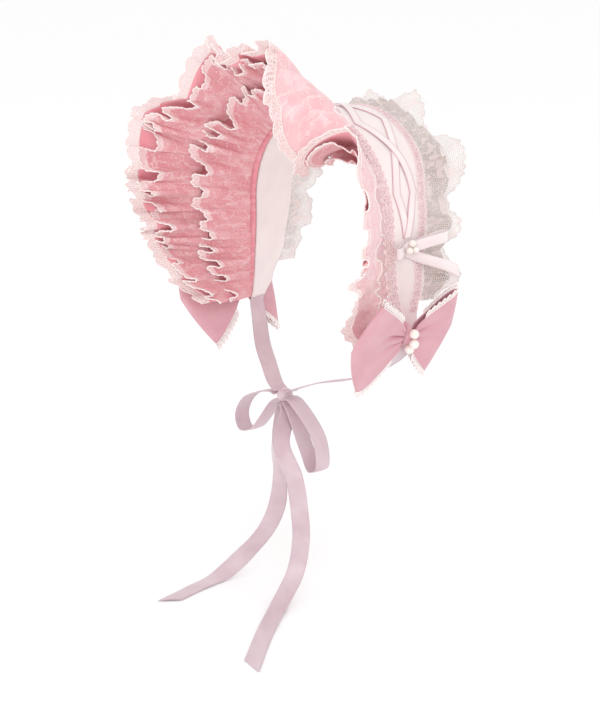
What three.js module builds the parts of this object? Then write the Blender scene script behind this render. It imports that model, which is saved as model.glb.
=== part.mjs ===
// Half bonnet in its worn form. A ruffled brim edged with lace stands on the front of a
// ribbon-laced band that arches from side to side. Ruffles hang behind the band, a bow with pearls
// sits at each of its ends, and two ribbon ties meet in a bow below.
// Millimetres, +Z up. The front faces -Y, so +X is the left side as worn.
// The origin is on the underside of the band, at its top.
import * as THREE from "three";

const degrees = THREE.MathUtils.degToRad;

// Rows of numbers under the names of their columns
const table = (columns, ...rows) =>
  rows.map((row) => Object.fromEntries(columns.map((column, i) => [column, row[i]])));

// Walls and the space between them
const CLOTH = 1.2; // brim
const BAND_WALL = 2;
const RIBBON_WALL = 1; // ribbons, bows, lace and the other ruffles
const GAP = 0.5; // between neighbouring pieces

// Line of the band: a half circle with two legs that spread a little towards their ends
const CROWN_RADIUS = 88;
const LEG_LENGTH = 92;
const LEG_SPREAD = degrees(15);
const CROWN_QUARTER = (CROWN_RADIUS * Math.PI) / 2;
const HALF_LINE = CROWN_QUARTER + LEG_LENGTH;
const DOME_RADIUS = 120; // roundness of the band from front to back

// Band: its width ahead of and behind that line, at a share of the way from its top to an end
const BAND_SECTIONS = table(
  ["at", "ahead", "behind"],
  [0.0, 30, 28],
  [0.28, 30, 25],
  [0.55, 29, 13],
  [0.78, 28, 7],
  [0.93, 26, -3],
  [1.0, 25, -9],
);
const BAND_FACETS = { along: 36, across: 3 };
const TRIM_WIDTH = 8; // lace braid along both edges of the band
const TRIM_END = 0.9; // share of the way to the band's end
const TRIM_FACETS = 28;

// Brim: at is the distance along the band's line, positive to the left. Each row is the crest or
// the hollow of a fold: its length from seam to edge, and its slope at the seam and at the edge,
// in degrees up from straight ahead.
const BRIM_FOLDS = table(
  ["at", "reach", "rise", "tip"],
  [-228, 46, 4, 4],
  [-205, 70, 24, 4],
  [-181, 88, 26, 54],
  [-160, 90, 46, 12],
  [-140, 100, 32, 58],
  [-118, 104, 48, 12],
  [-95, 108, 36, 52],
  [-70, 84, 56, 16],
  [-46, 86, 50, 64],
  [-22, 84, 56, 20],
  [6, 78, 66, 32],
  [28, 84, 78, -36],
  [46, 86, 78, -92],
  [62, 66, 66, -104],
  [81, 92, 44, 50],
  [98, 88, 50, 40],
  [114, 89, 40, 52],
  [132, 87, 47, 36],
  [150, 81, 33, 48],
  [168, 78, 40, 26],
  [186, 68, 24, 38],
  [206, 56, 22, 10],
  [228, 38, 4, 4],
);
const BRIM_LACE_WIDTH = 12;
const BRIM_FACETS = { along: 84, across: 6 };

// Ruffles on the inside of the brim: root and span are shares of the brim's length
const INNER_RUFFLES = [
  { name: "inner_ruffle_by_band", root: 0.05, span: 0.46, pitch: 30, stand: 6, wave: 9, shift: 0 },
  { name: "inner_ruffle_by_edge", root: 0.47, span: 0.47, pitch: 25, stand: 5, wave: 8, shift: 0.3 },
];
const INNER_ROOT_SPACE = 2.6;
const FULL_REACH = 88; // the brim length at which the inner ruffles are at their full size
const RUFFLE_FACETS_ACROSS = 2;
const GATHER_DRIFT = { size: 0.3, length: 37 }; // unevenness of the gathers

// Ruffles behind the band: slopes in degrees up from straight back
const BACK_FOLDS = table(
  ["at", "reach", "rise", "tip"],
  [-200, 20, 8, 0],
  [-182, 32, 18, 38],
  [-162, 26, 10, -20],
  [-142, 34, 18, 34],
  [-120, 30, 10, -22],
  [-96, 38, 28, 58],
  [-66, 34, 12, -24],
  [-38, 40, 14, 30],
  [-12, 34, 10, -12],
  [14, 40, 14, 28],
  [50, 30, 6, -34],
  [92, 38, 34, 62],
  [122, 28, 10, -24],
  [142, 33, 14, 30],
  [162, 26, 8, -20],
  [184, 34, 18, 34],
  [200, 20, 8, 0],
);
const BACK_FRILL = { root: 0.04, share: 0.58, stand: 3, wave: 6, pitch: 27, fullReach: 32 };
const BACK_ROOT_SPACE = 1.8;
const BACK_FACETS = 52;

// Ribbon laced across the band
const LACING_WIDTH = 7;
const LACING_STEP = 73; // from one crossing of the two ribbons to the next
const LACING_END = 2 * LACING_STEP; // along the band's line
const LACING_CORNER_ROOM = TRIM_WIDTH + GAP + LACING_WIDTH * 0.75; // a mitred corner is wider
const LACING_FACETS = 24; // a multiple of 8, so that a facet ends at each corner

// Small bow where the lacing ends on each side. Its strips are measured from its middle: back,
// down along the band and out from it.
const SIDE_BOW = { at: 153, ahead: 9, lift: 3.8, width: 9 };
const SIDE_PAD = { radius: 5, low: 0.3, high: 2.7, sides: 10 }; // knot under the pearls
const SIDE_PEARL_RADIUS = 3;
const SIDE_PEARLS = table(["back", "drop"], [0, -3.6], [3.2, 2.2], [-3.2, 2.2]);
const STRIP = ["back", "drop", "out"];
const SIDE_STRIPS = [
  {
    name: "back_loop",
    facets: 12,
    cut: 0,
    route: table(
      STRIP,
      [5.4, 0, 2.6],
      [16, -4, 11],
      [27, -7, 17],
      [31, -8, 14],
      [26, -7, 10],
      [15, -3.5, 5],
      [5.4, 0, 1],
    ),
  },
  {
    name: "front_loop",
    facets: 12,
    cut: 0,
    route: table(
      STRIP,
      [-5.4, 0, 2.6],
      [-10, 2, 6],
      [-15, 3, 8],
      [-17, 3.5, 6],
      [-14, 3, 4],
      [-9, 1.5, 2.2],
      [-5.4, 0, 1],
    ),
  },
  {
    name: "back_tail",
    facets: 6,
    cut: 5,
    route: table(
      STRIP,
      [-2, 3, -0.5],
      [5, 7, -0.3],
      [11, 10, 2.5],
      [18, 13, 8],
      [30, 18, 16],
      [44, 25, 18],
    ),
  },
];

// Bow at each end of the band: its middle from the band's end, and its lean and dip
const EAR_BOW = { out: 11.2, ahead: 28, up: 7, lean: degrees(28), dip: degrees(7) };
// A wing's reach at its bottom, middle and top, and its height below and above the knot
const WINGS = [
  { name: "front", way: -1, bottom: 39, middle: 56, top: 37, below: 42, above: 50, depth: 13 },
  { name: "back", way: 1, bottom: 22, middle: 36, top: 31, below: 44, above: 43, depth: 12 },
];
const WING = {
  rootHalf: 10, // half height at the knot
  rootSpace: 5.3, // from the middle of the bow
  rootSwell: 2, // half the space between the two layers at the knot
  lift: 3.5, // out from the middle of the bow
  crease: 2.6,
  opening: 0.8, // below 1 the wing widens early
  swell: 0.5, // of the two layers apart, a share of the wing's depth
  bulge: 0.35, // of the whole wing outwards, a share of its depth
};
const WING_FACETS = { along: 12, across: 4 };
const WING_LACE = { from: 0.08, to: 0.46, space: 0.9, width: 7, facets: 6 };
const EAR_KNOT = { across: 10, high: 22, deep: 18 };
const EAR_PEARL_RADIUS = 4;
const EAR_PEARL_PITCH = 8.4;
const EAR_PEARLS = 3;

// Ties of satin ribbon from the ends of the band to a knot below, and the bow tied there.
// The free tails end lying on a level surface.
const TIE_WIDTH = 15;
const KNOT = new THREE.Vector3(0, -65, -240);
const KNOT_RADIUS = 6;
const KNOT_SIDES = 12;
const KNOT_SEAT = KNOT_RADIUS + GAP; // where the ribbons leave the knot
const TIE_ANGLE = degrees(30); // of a tie's end at the knot, above level
const TIE_FACETS = 16;
const LOOP_FACETS = 18;
const TAIL_FACETS = 22;
const TAIL_CUT = 9; // slant of the cut ends
const TAIL_FACING = degrees(50); // the way the tails' width lies, seen from above
const STAND_LEVEL = -410;
const LYING = STAND_LEVEL + RIBBON_WALL / 2 - KNOT.z; // height of a lying tail, from the knot

// Routes from the knot; turn is the ribbon's turn about its route, in degrees
const ROUTE = ["x", "y", "z", "turn"];
const TIE_MIDDLE = table(ROUTE, [93, 44, 44, 0], [70, 30, 27, 0], [36, 11, 17, 0]); // left tie
const CHIN_LOOPS = {
  right: table(
    ROUTE,
    [-6.5, 0, 0, 0],
    [-14, 0, 1, 0],
    [-38, -8, -8, 0],
    [-48, -10, -26, 0],
    [-44, -9, -38, 0],
    [-32, -7, -36, 0],
    [-12, 0, -8, 0],
    [-5.6, 0, -3.4, 0],
  ),
  left: table(
    ROUTE,
    [5, 0, -4.2, 0],
    [10, 0, -9, 0],
    [20, 8, -46, 0],
    [27, 11, -63, 0],
    [35, 12, -60, 0],
    [33, 11, -34, 0],
    [14, 0, -2, 0],
    [6.5, 0, -0.5, 0],
  ),
};
const CHIN_TAILS = {
  right: table(
    ROUTE,
    [-2, 0, -6.3, -40],
    [-4, 0, -13, -40],
    [-2, -12, -42, -95],
    [2, -8, -70, -135],
    [0, -8, -95, -170],
    [-14, -10, -124, -180],
    [-32, -20, -150, -180],
    [-38, -42, LYING + 3, -180],
    [-34, -72, LYING, -180],
    [-23, -113, LYING, -180],
  ),
  left: table(
    ROUTE,
    [2, 0, -6.3, -40],
    [4, 0, -13, -40],
    [18, -18, -36, -20],
    [35, -18, -62, 0],
    [37, -14, -90, 0],
    [37, -12, -118, 0],
    [38, -19, -146, 0],
    [48, -44, LYING + 4, 0],
    [78, -82, LYING, 0],
    [133, -141, LYING, 0],
  ),
};

const PEARL_SIDES = { around: 10, down: 5 };
const FORWARD = new THREE.Vector3(0, -1, 0);
const BACK = new THREE.Vector3(0, 1, 0);
const SIDES = [
  { name: "left", sign: 1 },
  { name: "right", sign: -1 },
];

const finish = (color, roughness) =>
  new THREE.MeshStandardMaterial({ color, roughness, metalness: 0 });
const blushSatin = finish("#f6e4e3", 0.5);
const roseCloth = finish("#f0a9b1", 0.8);
const roseLace = finish("#f6cfd3", 0.85);
const greyLace = finish("#c9c3bf", 0.85);
const paleLace = finish("#e9e4e2", 0.85);
const bowSatin = finish("#ecb4be", 0.45);
const ribbonSatin = finish("#f3e3e6", 0.35);
const pearl = finish("#f4ece2", 0.2);

const bonnet = new THREE.Group();

function addPiece(name, geometry, material) {
  const mesh = new THREE.Mesh(geometry, material);
  mesh.name = name;
  bonnet.add(mesh);
}

const between = THREE.MathUtils.lerp;

// A table's columns at a place between its rows, which are crests and hollows
function rowAt(rows, at) {
  const next = rows.findIndex((row) => row.at >= at);
  if (next === 0) return rows[0];
  if (next < 0) return rows[rows.length - 1];
  const [from, to] = [rows[next - 1], rows[next]];
  const share = THREE.MathUtils.smoothstep(at, from.at, to.at);
  const mixed = {};
  for (const column of Object.keys(from)) mixed[column] = between(from[column], to[column], share);
  return mixed;
}

const TOP_FACE = 4; // of a box, counted as three.js builds it

// A closed wall along a surface; surface(u, v) is a point for u and v from 0 to 1
function wall(surface, along, across, thickness) {
  const slab = new THREE.BoxGeometry(1, 1, 1, along, across, 1);
  // Squares of the top are halved along the same diagonal as those of the underside, which keeps
  // a twisted wall as thick in their middles as at their corners
  const index = slab.getIndex().array;
  const { start, count } = slab.groups[TOP_FACE];
  for (let i = start; i < start + count; i += 6) {
    const [a, b, d, , c] = index.slice(i, i + 6);
    index.set([a, b, c, a, c, d], i);
  }
  const position = slab.getAttribute("position");
  for (let i = 0; i < position.count; i++) {
    const [u, v] = [position.getX(i) + 0.5, position.getY(i) + 0.5];
    const point = surface(u, v);
    point.addScaledVector(normalAt(surface, u, v), position.getZ(i) * thickness);
    position.setXYZ(i, point.x, point.y, point.z);
  }
  slab.computeVertexNormals();
  return slab;
}

function normalAt(surface, u, v) {
  const step = 1e-3;
  const slope = (du, dv) => {
    const ahead = surface(Math.min(1, u + du), Math.min(1, v + dv));
    return ahead.sub(surface(Math.max(0, u - du), Math.max(0, v - dv)));
  };
  return slope(step, 0).cross(slope(0, step)).normalize();
}

// The band's line: a point on it, the way out from the hollow and the way along
function lineAt(s) {
  const side = s < 0 ? -1 : 1;
  const way = Math.abs(s);
  let turn = way / CROWN_RADIUS;
  let x = CROWN_RADIUS * Math.sin(turn);
  let z = CROWN_RADIUS * (Math.cos(turn) - 1);
  if (way > CROWN_QUARTER) {
    const legRadius = LEG_LENGTH / LEG_SPREAD;
    const spreading = (way - CROWN_QUARTER) / legRadius;
    turn = Math.PI / 2 - spreading;
    x = CROWN_RADIUS + legRadius * (1 - Math.cos(spreading));
    z = -CROWN_RADIUS - legRadius * Math.sin(spreading);
  }
  return {
    point: new THREE.Vector3(side * x, 0, z),
    out: new THREE.Vector3(side * Math.sin(turn), 0, Math.cos(turn)),
    along: new THREE.Vector3(Math.cos(turn), 0, -side * Math.sin(turn)),
  };
}

function bandWidths(s) {
  return rowAt(BAND_SECTIONS, Math.abs(s) / HALF_LINE);
}

// A point on the band: s along its line, y back from it, lift out from its underside
function bandPoint(s, y, lift) {
  const line = lineAt(s);
  line.point.y = y;
  return line.point.addScaledVector(line.out, lift - (y * y) / (2 * DOME_RADIUS));
}

// A cloth that leaves the band in the direction ahead and curves from one slope to another.
// way is 0 at the seam and 1 at the edge; off is the distance out from the cloth.
function clothPoint(s, fold, seamY, ahead, way, off) {
  const line = lineAt(s);
  const rise = degrees(fold.rise);
  const bend = degrees(fold.tip - fold.rise) || 1e-6;
  const slope = rise + bend * way;
  const forward = (fold.reach * (Math.sin(slope) - Math.sin(rise))) / bend;
  const outward = (fold.reach * (Math.cos(rise) - Math.cos(slope))) / bend;
  return bandPoint(s, seamY, BAND_WALL / 2)
    .addScaledVector(ahead, forward - off * Math.sin(slope))
    .addScaledVector(line.out, outward + off * Math.cos(slope));
}

const SEAM_SPACE = GAP + CLOTH / 2; // a sloping wall's root needs this much room

function brimPoint(s, way, off = 0) {
  const seam = -(bandWidths(s).ahead + SEAM_SPACE);
  return clothPoint(s, rowAt(BRIM_FOLDS, s), seam, FORWARD, way, off);
}

function backPoint(s, way, off = 0) {
  const seam = bandWidths(s).behind + SEAM_SPACE;
  return clothPoint(s, rowAt(BACK_FOLDS, s), seam, BACK, way, off);
}

const endsOf = (rows) => [rows[0].at, rows[rows.length - 1].at];
const spread = ([low, high], u) => between(low, high, u);

// An uneven wave from 0 to 1, as gathers make
function gathers(s, pitch, shift) {
  const drift = GATHER_DRIFT.size * Math.sin(s / GATHER_DRIFT.length);
  return 0.5 + 0.5 * Math.sin(2 * Math.PI * (s / pitch + shift + drift));
}

function addBand() {
  const surface = (u, v) => {
    const s = spread([-HALF_LINE, HALF_LINE], u);
    const { ahead, behind } = bandWidths(s);
    return bandPoint(s, between(behind, -ahead, v), BAND_WALL / 2);
  };
  addPiece("crown_band", wall(surface, BAND_FACETS.along, BAND_FACETS.across, BAND_WALL), blushSatin);

  const lift = BAND_WALL + GAP + RIBBON_WALL / 2;
  const reach = TRIM_END * HALF_LINE;
  for (const edge of ["front", "back"]) {
    const strip = (u, v) => {
      const s = spread([-reach, reach], u);
      const { ahead, behind } = bandWidths(s);
      const rearSide = edge === "front" ? TRIM_WIDTH - ahead : behind;
      return bandPoint(s, rearSide - TRIM_WIDTH * v, lift);
    };
    addPiece(`band_trim_${edge}`, wall(strip, TRIM_FACETS, 1, RIBBON_WALL), roseLace);
  }
}

function addBrim() {
  const ends = endsOf(BRIM_FOLDS);
  const { along, across } = BRIM_FACETS;
  const surface = (u, v) => brimPoint(spread(ends, u), v);
  addPiece("brim", wall(surface, along, across, CLOTH), roseCloth);

  const lace = (u, v) => {
    const s = spread(ends, u);
    const { reach } = rowAt(BRIM_FOLDS, s);
    return brimPoint(s, 1 + (GAP + BRIM_LACE_WIDTH * v) / reach);
  };
  addPiece("brim_lace_edge", wall(lace, along, 1, RIBBON_WALL), roseLace);
}

function addInnerRuffles() {
  const ends = endsOf(BRIM_FOLDS);
  for (const { name, root, span, pitch, stand, wave, shift } of INNER_RUFFLES) {
    const surface = (u, v) => {
      const s = spread(ends, u);
      const size = Math.min(1, rowAt(BRIM_FOLDS, s).reach / FULL_REACH);
      const depth = size * v * (stand + wave * gathers(s, pitch, shift));
      return brimPoint(s, root + span * v, -(INNER_ROOT_SPACE + depth));
    };
    addPiece(name, wall(surface, BRIM_FACETS.along, RUFFLE_FACETS_ACROSS, RIBBON_WALL), roseLace);
  }
}

function addBackRuffles() {
  const ends = endsOf(BACK_FOLDS);
  const flounce = (u, v) => backPoint(spread(ends, 1 - u), v);
  const flounceWall = wall(flounce, BACK_FACETS, RUFFLE_FACETS_ACROSS, RIBBON_WALL);
  addPiece("back_flounce", flounceWall, paleLace);

  const { root, share, stand, wave, pitch, fullReach } = BACK_FRILL;
  const frill = (u, v) => {
    const s = spread(ends, 1 - u);
    const size = Math.min(1, rowAt(BACK_FOLDS, s).reach / fullReach);
    const depth = size * v * (stand + wave * gathers(s, pitch, 0));
    return backPoint(s, root + share * v, BACK_ROOT_SPACE + depth);
  };
  const frillWall = wall(frill, BACK_FACETS, RUFFLE_FACETS_ACROSS, RIBBON_WALL);
  addPiece("back_frill", frillWall, greyLace);
}

// Two ribbons in opposite zigzags between the trims; the corners are mitred
function addLacing() {
  const ribbons = [
    { name: "lacing_ribbon_under", lift: BAND_WALL + GAP + RIBBON_WALL / 2, way: 1 },
    { name: "lacing_ribbon_over", lift: BAND_WALL + 2 * GAP + 1.5 * RIBBON_WALL, way: -1 },
  ];
  for (const { name, lift, way } of ribbons) {
    const surface = (u, v) => {
      const s = spread([-LACING_END, LACING_END], u);
      const zigzag = (way * Math.asin(Math.sin((Math.PI * s) / LACING_STEP)) * 2) / Math.PI;
      const { ahead, behind } = bandWidths(s);
      const middle = (behind - ahead) / 2;
      const half = (behind + ahead) / 2 - LACING_CORNER_ROOM;
      const slant = Math.hypot(1, half / (LACING_STEP / 2));
      return bandPoint(s, middle + half * zigzag + (0.5 - v) * LACING_WIDTH * slant, lift);
    };
    addPiece(name, wall(surface, LACING_FACETS, 1, RIBBON_WALL), ribbonSatin);
  }
}

// A flat ribbon along a route of points, each with the ribbon's turn about its route there.
// across is the way its width lies before it is turned; cut slants its far end.
function ribbon(rows, width, across, facets, cut = 0) {
  const points = rows.map((row) => new THREE.Vector3(row.x, row.y, row.z));
  const route = new THREE.CatmullRomCurve3(points, false, "centripetal");
  const cutShare = cut / route.getLength();
  const surface = (u, v) => {
    const place = u * (1 - cutShare * (1 - v));
    const along = route.getTangent(place);
    const share = place * (rows.length - 1);
    const row = Math.min(rows.length - 2, Math.floor(share));
    const turn = between(rows[row].turn, rows[row + 1].turn, share - row);
    const widthWay = across.clone().addScaledVector(along, -across.dot(along)).normalize();
    widthWay.applyAxisAngle(along, degrees(turn));
    return route.getPoint(place).addScaledVector(widthWay, width * (v - 0.5));
  };
  return wall(surface, facets, 1, RIBBON_WALL);
}

function sphere(radius, at) {
  const ball = new THREE.SphereGeometry(radius, PEARL_SIDES.around, PEARL_SIDES.down);
  return ball.translate(at.x, at.y, at.z);
}

// Small bow on the lacing: two loops, a tail, a knot and three pearls
function addSideBow({ name, sign }) {
  const line = lineAt(sign * SIDE_BOW.at);
  const middle = bandPoint(sign * SIDE_BOW.at, -SIDE_BOW.ahead, SIDE_BOW.lift);
  const down = line.along.clone().multiplyScalar(sign);
  const at = ({ back, drop, out }) => {
    const point = middle.clone().addScaledVector(BACK, back);
    return point.addScaledVector(down, drop).addScaledVector(line.out, out);
  };
  for (const strip of SIDE_STRIPS) {
    const rows = strip.route.map((row) => ({ ...at(row), turn: 0 }));
    const geometry = ribbon(rows, SIDE_BOW.width, down, strip.facets, strip.cut);
    addPiece(`side_bow_${name}_${strip.name}`, geometry, ribbonSatin);
  }

  const { radius, low, high, sides } = SIDE_PAD;
  const pad = new THREE.CylinderGeometry(radius, radius, high - low, sides);
  const upright = new THREE.Quaternion().setFromUnitVectors(BACK, line.out);
  const padMiddle = at({ back: 0, drop: 0, out: (high + low) / 2 });
  pad.applyQuaternion(upright).translate(padMiddle.x, padMiddle.y, padMiddle.z);
  addPiece(`side_bow_${name}_knot`, pad, ribbonSatin);
  SIDE_PEARLS.forEach((place, i) => {
    const centre = at({ ...place, out: high + GAP + SIDE_PEARL_RADIUS });
    addPiece(`side_bow_${name}_pearl_${i + 1}`, sphere(SIDE_PEARL_RADIUS, centre), pearl);
  });
}

// Ear bow: two folded satin wings with lace on their edges, a knot and three pearls
function addEarBow({ name, sign }) {
  const end = lineAt(sign * HALF_LINE);
  const { lean, dip } = EAR_BOW;
  const out = new THREE.Vector3(sign * Math.cos(lean), 0, -Math.sin(lean));
  const level = new THREE.Vector3(sign * Math.sin(lean), 0, Math.cos(lean));
  const back = BACK.clone().multiplyScalar(Math.cos(dip)).addScaledVector(level, Math.sin(dip));
  const up = level.clone().multiplyScalar(Math.cos(dip)).addScaledVector(BACK, -Math.sin(dip));
  const middle = end.point.clone().addScaledVector(end.out, EAR_BOW.out);
  middle.y -= EAR_BOW.ahead;
  middle.z += EAR_BOW.up;
  const at = (backward, upward, outward) => {
    const point = middle.clone().addScaledVector(back, backward);
    return point.addScaledVector(up, upward).addScaledVector(out, outward);
  };

  // q runs out along the wing's outer layer, round its end and home along the inner layer
  const wingPoint = (wing, q, v) => {
    const share = Math.sin(Math.PI * q);
    const side = Math.cos(Math.PI * q);
    const sideReach = wing.bottom * (1 - v) * (1 - 2 * v) + wing.top * v * (2 * v - 1);
    const reach = sideReach + wing.middle * 4 * v * (1 - v);
    const opening = Math.pow(share, WING.opening);
    const low = between(WING.rootHalf, wing.below, opening);
    const high = between(WING.rootHalf, wing.above, opening);
    const crease = WING.crease * Math.cos(3 * Math.PI * v) * (1 - share) * side;
    const apart = (WING.rootSwell + wing.depth * WING.swell * share * share) * side;
    const bulge = wing.depth * WING.bulge * share;
    const backward = wing.way * (WING.rootSpace + reach * share);
    return at(backward, between(-low, high, v), WING.lift + apart + bulge + crease);
  };
  for (const wing of WINGS) {
    const surface = (u, v) => wingPoint(wing, u, v);
    const folded = wall(surface, WING_FACETS.along, WING_FACETS.across, RIBBON_WALL);
    addPiece(`ear_bow_${name}_${wing.name}_wing`, folded, bowSatin);
    for (const edge of ["top", "bottom"]) {
      const [rim, way] = edge === "top" ? [1, 1] : [0, -1];
      const lace = (u, v) => {
        const point = wingPoint(wing, between(WING_LACE.from, WING_LACE.to, u), rim);
        return point.addScaledVector(up, way * (WING_LACE.space + WING_LACE.width * v));
      };
      const geometry = wall(lace, WING_LACE.facets, 1, RIBBON_WALL);
      addPiece(`ear_bow_${name}_${wing.name}_lace_${edge}`, geometry, roseLace);
    }
  }

  const { across, high, deep } = EAR_KNOT;
  const knot = new THREE.SphereGeometry(0.5, 8, 6).scale(across, deep, high);
  const turned = new THREE.Matrix4().makeBasis(back, out.clone().multiplyScalar(-sign), up);
  knot.applyMatrix4(turned).translate(middle.x, middle.y, middle.z);
  addPiece(`ear_bow_${name}_knot`, knot, bowSatin);

  for (let i = 0; i < EAR_PEARLS; i++) {
    const rise = ((EAR_PEARLS - 1) / 2 - i) * EAR_PEARL_PITCH;
    const swell = (deep / 2) * Math.sqrt(1 - ((2 * rise) / high) ** 2);
    const centre = at(0, rise, swell + GAP + EAR_PEARL_RADIUS);
    addPiece(`ear_bow_${name}_pearl_${i + 1}`, sphere(EAR_PEARL_RADIUS, centre), pearl);
  }
}

// Chin ties, and the bow's knot, two loops and two tails
function addChinTies() {
  const fromKnot = (rows) =>
    rows.map(({ x, y, z, turn }) => ({ x: KNOT.x + x, y: KNOT.y + y, z: KNOT.z + z, turn }));
  const { ahead, behind } = bandWidths(HALF_LINE);
  for (const { name, sign } of SIDES) {
    const root = bandPoint(sign * HALF_LINE, (behind - ahead) / 2, BAND_WALL / 2);
    const down = lineAt(sign * HALF_LINE).along.multiplyScalar(sign);
    const below = (drop) => ({ ...root.clone().addScaledVector(down, drop), turn: 0 });
    const beside = (reach) => ({
      x: sign * reach * Math.cos(TIE_ANGLE),
      y: 0,
      z: reach * Math.sin(TIE_ANGLE),
      turn: 0,
    });
    const middle = TIE_MIDDLE.map((row) => ({ ...row, x: sign * row.x }));
    const toKnot = [...middle, beside(2.2 * KNOT_SEAT), beside(KNOT_SEAT)];
    const rows = [below(GAP), below(10 * GAP), ...fromKnot(toKnot)];
    addPiece(`chin_tie_${name}`, ribbon(rows, TIE_WIDTH, BACK, TIE_FACETS), ribbonSatin);
  }

  const knot = new THREE.CylinderGeometry(KNOT_RADIUS, KNOT_RADIUS, TIE_WIDTH, KNOT_SIDES);
  addPiece("chin_bow_knot", knot.translate(KNOT.x, KNOT.y, KNOT.z), ribbonSatin);

  for (const [name, rows] of Object.entries(CHIN_LOOPS)) {
    const geometry = ribbon(fromKnot(rows), TIE_WIDTH, BACK, LOOP_FACETS);
    addPiece(`chin_bow_loop_${name}`, geometry, ribbonSatin);
  }
  const facing = new THREE.Vector3(Math.cos(TAIL_FACING), Math.sin(TAIL_FACING), 0);
  for (const [name, rows] of Object.entries(CHIN_TAILS)) {
    const geometry = ribbon(fromKnot(rows), TIE_WIDTH, facing, TAIL_FACETS, TAIL_CUT);
    addPiece(`chin_bow_tail_${name}`, geometry, ribbonSatin);
  }
}

addBand();
addBrim();
addInnerRuffles();
addBackRuffles();
addLacing();
SIDES.forEach(addSideBow);
SIDES.forEach(addEarBow);
addChinTies();

export default bonnet;
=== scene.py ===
# Half bonnet as worn, in rose cotton, lace, satin ribbon and pearls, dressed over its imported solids
import math

import bmesh
import bpy
import numpy as np
from mathutils import Euler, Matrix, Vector


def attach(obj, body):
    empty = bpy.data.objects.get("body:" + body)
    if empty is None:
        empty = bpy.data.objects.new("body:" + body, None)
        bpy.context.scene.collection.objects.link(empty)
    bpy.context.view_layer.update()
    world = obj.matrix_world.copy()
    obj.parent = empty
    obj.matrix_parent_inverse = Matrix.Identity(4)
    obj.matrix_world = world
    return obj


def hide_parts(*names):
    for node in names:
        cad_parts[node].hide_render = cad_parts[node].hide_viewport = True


mm = 0.001  # sizes below are in millimetres, and places too
linesPerUnit = 0.314  # scale at which a wave texture has one line to a unit
narrowest = 10  # least width that a sheet row takes
scene = bpy.context.scene
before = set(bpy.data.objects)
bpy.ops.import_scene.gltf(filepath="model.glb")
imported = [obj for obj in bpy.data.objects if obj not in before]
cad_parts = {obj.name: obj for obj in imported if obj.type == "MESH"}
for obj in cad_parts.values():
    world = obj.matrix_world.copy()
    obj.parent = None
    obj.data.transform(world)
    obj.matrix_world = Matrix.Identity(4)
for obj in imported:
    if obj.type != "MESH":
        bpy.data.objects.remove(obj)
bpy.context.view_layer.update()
print("frame loaded:", len(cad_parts), "solids")


# Colours and material nodes
def toLinear(hexColour):
    channels = [int(hexColour[i : i + 2], 16) / 255 for i in (1, 3, 5)]
    linear = [c / 12.92 if c <= 0.04045 else ((c + 0.055) / 1.055) ** 2.4 for c in channels]
    return (*linear, 1.0)


def newMaterial(name, **sockets):
    material = bpy.data.materials.new(name)
    material.use_nodes = True
    shader = material.node_tree.nodes["Principled BSDF"]
    for socket, value in sockets.items():
        shader.inputs[socket.replace("_", " ")].default_value = value
    return material, shader


def addNode(shader, kind, inputs, **settings):
    tree = shader.id_data
    node = tree.nodes.new("ShaderNode" + kind)
    for name, value in settings.items():
        setattr(node, name, value)
    for key, value in inputs.items():
        if isinstance(value, bpy.types.NodeSocket):
            tree.links.new(value, node.inputs[key])
        else:
            node.inputs[key].default_value = value
    return node.outputs


def link(node, output, socket):
    node.id_data.links.new(output, node.inputs[socket])


def flatMillimetres(shader):
    place = addNode(shader, "UVMap", {}, uv_map="flat")["UV"]
    return addNode(shader, "VectorMath", {0: place, "Scale": 1 / mm}, operation="SCALE")["Vector"]


def mixTint(shader, share, *tints):
    first, second = (toLinear(tint) if isinstance(tint, str) else tint for tint in tints)
    return addNode(shader, "Mix", {"Factor": share, 6: first, 7: second}, data_type="RGBA")[2]


def mathNode(shader, operation, *values):
    return addNode(shader, "Math", dict(enumerate(values)), operation=operation)["Value"]


def softNoise(shader, place, scale, detail, low, high):
    noise = addNode(shader, "TexNoise", {"Vector": place, "Scale": scale, "Detail": detail})["Fac"]
    return addNode(shader, "MapRange", {"Value": noise, 1: low, 2: high})["Result"]


def addBump(shader, height, strength, depth, normal=None):
    inputs = {"Height": height, "Strength": strength, "Distance": depth * mm}
    if normal is not None:
        inputs["Normal"] = normal
    return addNode(shader, "Bump", inputs)["Normal"]


# Thin cloth takes a share of its light from behind
def letThrough(shader, tint, normal, share):
    glow = addNode(shader, "BsdfTranslucent", {"Color": tint, "Normal": normal})["BSDF"]
    both = addNode(shader, "MixShader", {0: share, 1: shader.outputs["BSDF"], 2: glow})["Shader"]
    link(shader.id_data.nodes["Material Output"], both, "Surface")


# Satin: long floats laid one way, so it is smooth, softly glossy and faintly lined
def satin(name, deep, colour, roughness, hem=None):
    material, shader = newMaterial(
        name, Roughness=roughness, IOR=1.5, Sheen_Weight=0.25, Sheen_Roughness=0.4
    )
    place = flatMillimetres(shader)
    cloud = softNoise(shader, place, scale=1 / 26, detail=3, low=0.35, high=0.7)
    tint = mixTint(shader, cloud, deep, colour)
    # hem, where given, paints shade: a darker pink along both edges of the ribbon
    if hem:
        half = hem["ribbon"] / 2
        across = addNode(shader, "SeparateXYZ", {0: place})["Y"]
        aside = mathNode(shader, "ABSOLUTE", mathNode(shader, "SUBTRACT", across, half))
        stripe = {"Value": aside, 1: half - hem["starts"], 2: half - hem["full"]}
        atPaintedEdgeShade = addNode(shader, "MapRange", stripe)["Result"]
        tint = mixTint(shader, atPaintedEdgeShade, tint, hem["colour"])
    link(shader, tint, "Base Color")
    # floats are 0.1 mm apart on the real ribbon, drawn at 0.5 mm so that they show
    floats = {"Vector": place, "Scale": linesPerUnit / 0.5, "Distortion": 0.6}
    lines = addNode(shader, "TexWave", floats, bands_direction="Y")["Fac"]
    link(shader, addBump(shader, lines, strength=0.12, depth=0.2), "Normal")
    return material


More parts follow.
